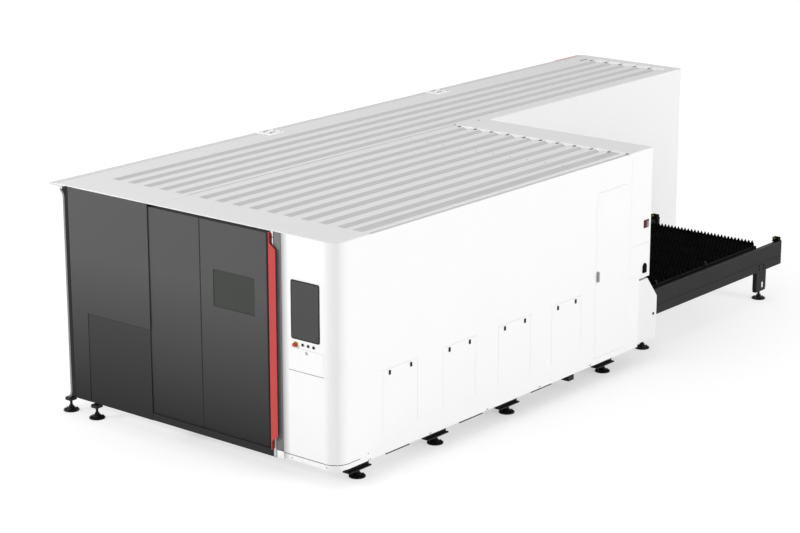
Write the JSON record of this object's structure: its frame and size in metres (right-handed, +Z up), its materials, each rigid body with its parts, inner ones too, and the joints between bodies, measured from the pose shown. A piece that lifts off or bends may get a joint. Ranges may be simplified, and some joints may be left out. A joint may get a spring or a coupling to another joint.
{
  "type": "sheet and tube laser cutting machine",
  "caption": "Enclosed laser cutting machine for sheet and tube: sliding front door, control column, grooved roofs, long tube bay and a saw-tooth exchange table behind",
  "frame": {"origin": "centre of the footprint, on the floor", "axes": "+Z up, -Y to the operator's front, +X to the control column side"},
  "size_m": [3.585, 8.6724, 2.235],
  "materials": {
    "white_paint": "semi-gloss",
    "roof_paint": "satin",
    "dark_paint": "satin",
    "hatch_paint": "satin",
    "black_paint": "satin",
    "red_paint": "semi-gloss",
    "window_glass": "dark laser-safe",
    "bezel_plastic": "matt",
    "screen_glass": "glossy",
    "yellow_plastic": "matt",
    "red_plastic": "glossy",
    "black_plastic": "matt",
    "grey_plastic": "matt",
    "frame_paint": "satin",
    "table_paint": "satin",
    "slat_steel": "dull",
    "rail_steel": "ground",
    "chuck_steel": "machined",
    "cover_paint": "semi-gloss",
    "foot_black": "painted black"
  },
  "bodies": {
    "machine": {"base_frame": "frame_paint", "tube_bed": "frame_paint", "linear_rails": "rail_steel", "left_wall": "roof_paint", "front_panel": "dark_paint", "door_frame": "black_paint", "control_column": "white_paint", "right_wall": "white_paint", "low_rear_cover": "cover_paint", "sheet_roof": "roof_paint", "tube_roof": "roof_paint", "tube_walls": "white_paint", "sheet_rear_wall": "white_paint", "roof_brackets": "white_paint", "monitor": "bezel_plastic", "monitor_screen": "screen_glass", "estop_ring": "yellow_plastic", "isolator_plate": "grey_plastic", "foot_brackets": "black_paint", "levelling_feet": "foot_black", "table_frame": "table_paint", "pallet_rails": "rail_steel", "electrical_cabinet": "frame_paint", "laser_source": "cover_paint", "front_chuck_housing": "frame_paint"},
    "front_door": {"door_leaf": "dark_paint", "door_window": "window_glass", "door_handle": "red_paint"},
    "tall_door": {"tall_door": "white_paint"},
    "tall_door_handle": {"tall_door_handle": "grey_plastic"},
    "rear_cover": {"rear_cover": "white_paint"},
    "rear_cover_latch": {"rear_cover_latch": "black_plastic"},
    "isolator_switch": {"isolator_switch": "red_plastic"},
    "estop_button": {"estop_button": "red_plastic"},
    "keyboard_tray": {"keyboard_tray": "white_paint", "keyboard": "black_plastic"},
    "tube_hatch": {"tube_hatch": "hatch_paint"},
    "pallet_upper": {"pallet_upper": "slat_steel"},
    "pallet_lower": {"pallet_lower": "slat_steel"},
    "gantry_beam": {"gantry_beam": "cover_paint"},
    "head_carriage": {"head_carriage": "frame_paint"},
    "cutting_head": {"cutting_head": "chuck_steel"},
    "chuck_carriage": {"chuck_carriage": "frame_paint"},
    "rear_chuck": {"rear_chuck": "chuck_steel"},
    "front_chuck": {"front_chuck": "chuck_steel"},
    "access_door_1": {"access_door_1": "white_paint"},
    "access_latch_1_front": {"access_latch_1_front": "black_plastic"},
    "access_latch_1_rear": {"access_latch_1_rear": "black_plastic"},
    "access_door_2": {"access_door_2": "white_paint"},
    "access_latch_2_front": {"access_latch_2_front": "black_plastic"},
    "access_latch_2_rear": {"access_latch_2_rear": "black_plastic"},
    "access_door_3": {"access_door_3": "white_paint"},
    "access_latch_3_front": {"access_latch_3_front": "black_plastic"},
    "access_latch_3_rear": {"access_latch_3_rear": "black_plastic"},
    "access_door_4": {"access_door_4": "white_paint"},
    "access_latch_4_front": {"access_latch_4_front": "black_plastic"},
    "access_latch_4_rear": {"access_latch_4_rear": "black_plastic"},
    "push_button_1": {"push_button_1": "black_plastic"},
    "push_button_2": {"push_button_2": "black_plastic"},
    "push_button_3": {"push_button_3": "black_plastic"}
  },
  "joints": [
    {"name": "front_door_slide", "type": "slide", "parent": "machine", "child": "front_door", "axis": [-1, 0, 0], "range_m": [0, 1]},
    {"name": "tube_hatch_hinge", "type": "hinge", "parent": "machine", "child": "tube_hatch", "pos_m": [-1.324, -4.26675, 0.585], "axis": [0, 0, -1], "range_deg": [0, 90]},
    {"name": "tall_door_hinge", "type": "hinge", "parent": "machine", "child": "tall_door", "pos_m": [1.7645, 0.12525, 1.082], "axis": [0, 0, 1], "range_deg": [0, 90]},
    {"name": "tall_door_handle_turn", "type": "hinge", "parent": "tall_door", "child": "tall_door_handle", "pos_m": [1.7645, -0.37575, 1.08], "axis": [1, 0, 0], "range_deg": [0, 90]},
    {"name": "rear_cover_hinge", "type": "hinge", "parent": "machine", "child": "rear_cover", "pos_m": [1.7645, 0.21125, 1.084], "axis": [0, 0, -1], "range_deg": [0, 90]},
    {"name": "rear_cover_latch_turn", "type": "hinge", "parent": "rear_cover", "child": "rear_cover_latch", "pos_m": [1.7645, 0.45825, 0.9815], "axis": [1, 0, 0], "range_deg": [0, 90]},
    {"name": "isolator_turn", "type": "hinge", "parent": "machine", "child": "isolator_switch", "pos_m": [1.7705, 0.46875, 1.4515], "axis": [1, 0, 0], "range_deg": [0, 90]},
    {"name": "estop_press", "type": "slide", "parent": "machine", "child": "estop_button", "axis": [0, 1, 0], "range_m": [0, 0.005], "stiffness_N_per_m": 900},
    {"name": "keyboard_tray_hinge", "type": "hinge", "parent": "machine", "child": "keyboard_tray", "pos_m": [1.4085, -4.27075, 1.006], "axis": [1, 0, 0], "range_deg": [0, 90]},
    {"name": "access_door_1_hinge", "type": "hinge", "parent": "machine", "child": "access_door_1", "pos_m": [1.7645, -3.42275, 0.365], "axis": [0, 1, 0], "range_deg": [0, 90]},
    {"name": "access_latch_1_front_turn", "type": "hinge", "parent": "access_door_1", "child": "access_latch_1_front", "pos_m": [1.7645, -3.57075, 0.915], "axis": [1, 0, 0], "range_deg": [0, 90]},
    {"name": "access_latch_1_rear_turn", "type": "hinge", "parent": "access_door_1", "child": "access_latch_1_rear", "pos_m": [1.7645, -3.27475, 0.915], "axis": [1, 0, 0], "range_deg": [0, 90]},
    {"name": "access_door_2_hinge", "type": "hinge", "parent": "machine", "child": "access_door_2", "pos_m": [1.7645, -2.57275, 0.365], "axis": [0, 1, 0], "range_deg": [0, 90]},
    {"name": "access_latch_2_front_turn", "type": "hinge", "parent": "access_door_2", "child": "access_latch_2_front", "pos_m": [1.7645, -2.72275, 0.915], "axis": [1, 0, 0], "range_deg": [0, 90]},
    {"name": "access_latch_2_rear_turn", "type": "hinge", "parent": "access_door_2", "child": "access_latch_2_rear", "pos_m": [1.7645, -2.42275, 0.915], "axis": [1, 0, 0], "range_deg": [0, 90]},
    {"name": "access_door_3_hinge", "type": "hinge", "parent": "machine", "child": "access_door_3", "pos_m": [1.7645, -1.72925, 0.365], "axis": [0, 1, 0], "range_deg": [0, 90]},
    {"name": "access_latch_3_front_turn", "type": "hinge", "parent": "access_door_3", "child": "access_latch_3_front", "pos_m": [1.7645, -1.88675, 0.915], "axis": [1, 0, 0], "range_deg": [0, 90]},
    {"name": "access_latch_3_rear_turn", "type": "hinge", "parent": "access_door_3", "child": "access_latch_3_rear", "pos_m": [1.7645, -1.57175, 0.915], "axis": [1, 0, 0], "range_deg": [0, 90]},
    {"name": "access_door_4_hinge", "type": "hinge", "parent": "machine", "child": "access_door_4", "pos_m": [1.7645, -0.88925, 0.365], "axis": [0, 1, 0], "range_deg": [0, 90]},
    {"name": "access_latch_4_front_turn", "type": "hinge", "parent": "access_door_4", "child": "access_latch_4_front", "pos_m": [1.7645, -1.03675, 0.915], "axis": [1, 0, 0], "range_deg": [0, 90]},
    {"name": "access_latch_4_rear_turn", "type": "hinge", "parent": "access_door_4", "child": "access_latch_4_rear", "pos_m": [1.7645, -0.74175, 0.915], "axis": [1, 0, 0], "range_deg": [0, 90]},
    {"name": "push_button_1_press", "type": "slide", "parent": "machine", "child": "push_button_1", "axis": [0, 1, 0], "range_m": [0, 0.003], "stiffness_N_per_m": 500},
    {"name": "push_button_2_press", "type": "slide", "parent": "machine", "child": "push_button_2", "axis": [0, 1, 0], "range_m": [0, 0.003], "stiffness_N_per_m": 500},
    {"name": "push_button_3_press", "type": "slide", "parent": "machine", "child": "push_button_3", "axis": [0, 1, 0], "range_m": [0, 0.003], "stiffness_N_per_m": 500},
    {"name": "pallet_shuttle", "type": "slide", "parent": "machine", "child": "pallet_upper", "axis": [0, -1, 0], "range_m": [0, 3.97]},
    {"name": "lower_pallet_shuttle", "type": "slide", "parent": "machine", "child": "pallet_lower", "axis": [0, 1, 0], "range_m": [0, 3.97]},
    {"name": "gantry_travel", "type": "slide", "parent": "machine", "child": "gantry_beam", "axis": [0, 1, 0], "range_m": [0, 3.03]},
    {"name": "head_cross_travel", "type": "slide", "parent": "gantry_beam", "child": "head_carriage", "axis": [1, 0, 0], "range_m": [-1.1, 1.25]},
    {"name": "head_height", "type": "slide", "parent": "head_carriage", "child": "cutting_head", "axis": [0, 0, -1], "range_m": [0, 0.225]},
    {"name": "chuck_travel", "type": "slide", "parent": "machine", "child": "chuck_carriage", "axis": [0, -1, 0], "range_m": [0, 5]},
    {"name": "rear_chuck_spin", "type": "hinge", "parent": "chuck_carriage", "child": "rear_chuck", "pos_m": [-0.9425, 3.54925, 0.7], "axis": [0, 1, 0], "continuous": true},
    {"name": "front_chuck_spin", "type": "hinge", "parent": "machine", "child": "front_chuck", "pos_m": [-0.9425, -2.25075, 0.7], "axis": [0, 1, 0], "continuous": true}
  ],
  "couplings": [
    {"joint": "lower_pallet_shuttle", "follows": "pallet_shuttle", "ratio": 1},
    {"joint": "front_chuck_spin", "follows": "rear_chuck_spin", "ratio": 1}
  ]
}
